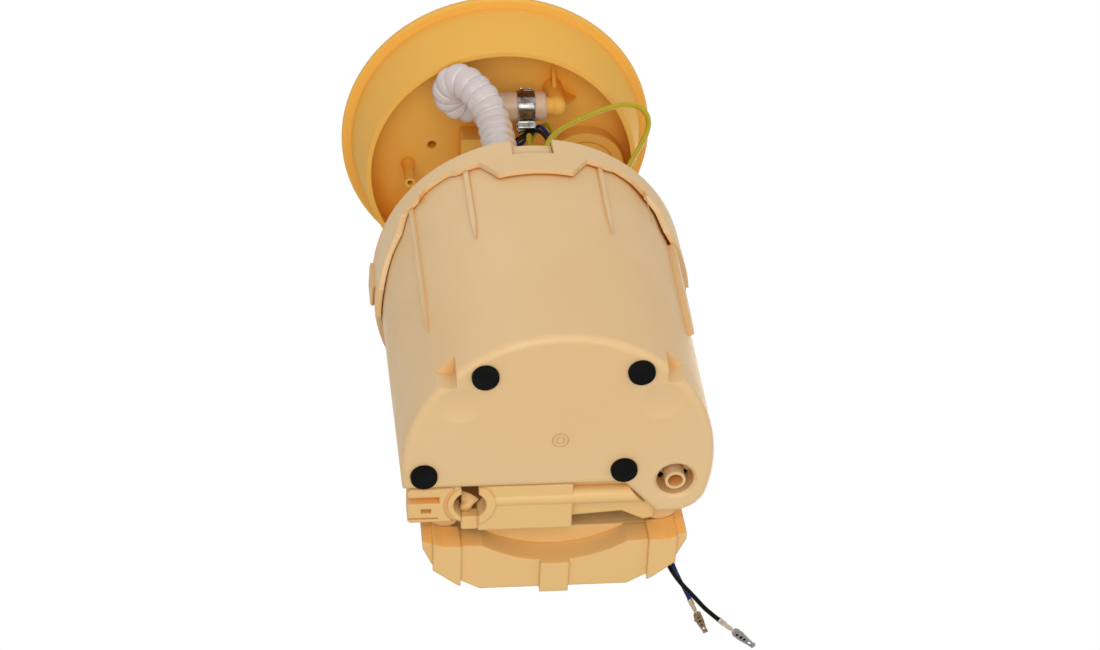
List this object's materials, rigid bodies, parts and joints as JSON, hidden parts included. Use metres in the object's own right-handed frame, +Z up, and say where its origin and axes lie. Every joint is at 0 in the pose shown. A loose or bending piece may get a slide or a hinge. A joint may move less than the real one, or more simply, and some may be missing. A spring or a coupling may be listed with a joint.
{
  "type": "fuel pump module",
  "caption": "In-tank fuel pump module: D-shaped reservoir with pump, filter housing behind, and a sprung round flange above with hose, wiring and loose sender leads.",
  "frame": {"origin": "on the flange's axis, level with the undersides of the rubber feet", "axes": "+Z up towards the flange, -Y towards the rounded front of the reservoir, +X towards the inlet lobe"},
  "size_m": [0.1568, 0.1649, 0.267],
  "materials": {
    "tan_acetal": "moulded, satin",
    "flange_acetal": "moulded, satin",
    "dark_acetal": "moulded, satin",
    "rubber": "matte moulded",
    "filter_paper": "folded paper",
    "strainer_mesh": "woven nylon",
    "hose_nylon": "milky, corrugated",
    "clamp_steel": "stamped strip",
    "spring_steel": "drawn wire",
    "polished_steel": "ground bar",
    "brass": "turned",
    "magnet": "sintered",
    "armature_steel": "laminated",
    "carbon": "pressed carbon",
    "yellow_insulation": "extruded insulation",
    "blue_insulation": "extruded insulation",
    "black_insulation": "extruded insulation",
    "terminal_tin": "tinned, stamped"
  },
  "bodies": {
    "reservoir": {"reservoir_pot": "tan_acetal", "rubber_feet": "rubber", "inlet_stub": "tan_acetal", "reservoir_cover": "tan_acetal", "filter_cap": "tan_acetal", "filter_housing": "tan_acetal", "filter_element": "filter_paper", "sender_mount": "tan_acetal", "jet_pump_body": "tan_acetal", "jet_pump_nozzle": "brass", "guide_tube_left": "tan_acetal", "guide_tube_right": "tan_acetal", "guide_spring_left": "spring_steel", "guide_spring_right": "spring_steel", "outlet_hose": "hose_nylon", "hose_clamp_lower": "clamp_steel", "wire_grommet": "rubber", "cover_grommet": "rubber", "pump_shell": "clamp_steel", "pump_inlet_cap": "dark_acetal", "pump_middle_plate": "dark_acetal", "pump_magnets": "magnet", "pump_bearings": "brass", "pump_outlet_cap": "dark_acetal", "check_valve_stop": "dark_acetal", "pump_brushes": "carbon", "brush_holder": "dark_acetal", "pump_plug": "dark_acetal", "inlet_strainer": "strainer_mesh", "pump_holder": "tan_acetal", "pump_isolator": "rubber", "harness_yellow": "yellow_insulation", "harness_yellow_loop": "yellow_insulation", "harness_blue": "blue_insulation", "harness_black": "black_insulation", "harness_black_thin": "black_insulation", "harness_yellow_rear": "yellow_insulation", "sender_lead_blue": "blue_insulation", "sender_lead_black": "black_insulation", "sender_terminal_blue": "terminal_tin", "sender_terminal_black": "terminal_tin"},
    "flange": {"flange": "flange_acetal", "connector_pins": "terminal_tin", "vent_valve": "flange_acetal", "guide_rod_left": "polished_steel", "guide_rod_right": "polished_steel", "hose_clamp_upper": "clamp_steel"},
    "pump_rotor": {"pump_shaft": "polished_steel", "pump_armature": "armature_steel", "pump_impeller": "dark_acetal"},
    "inlet_flap": {"inlet_flap_valve": "rubber"},
    "check_valve": {"outlet_check_valve": "dark_acetal"}
  },
  "joints": [
    {"name": "flange_slide", "type": "slide", "parent": "reservoir", "child": "flange", "axis": [0, 0, -1], "range_m": [0, 0.03], "stiffness_N_per_m": 300, "springref_m": -0.03, "deforming": ["guide_spring_left", "guide_spring_right", "outlet_hose", "harness_yellow", "harness_yellow_loop", "harness_blue", "harness_black", "harness_black_thin", "harness_yellow_rear"]},
    {"name": "pump_spin", "type": "hinge", "parent": "reservoir", "child": "pump_rotor", "pos_m": [0.002, -0.0265, 0.06], "axis": [0, 0, 1], "continuous": true},
    {"name": "inlet_flap_lift", "type": "slide", "parent": "reservoir", "child": "inlet_flap", "axis": [0, 0, 1], "range_m": [0, 0.0016]},
    {"name": "check_valve_lift", "type": "slide", "parent": "reservoir", "child": "check_valve", "axis": [0, 0, 1], "range_m": [0, 0.003]}
  ]
}
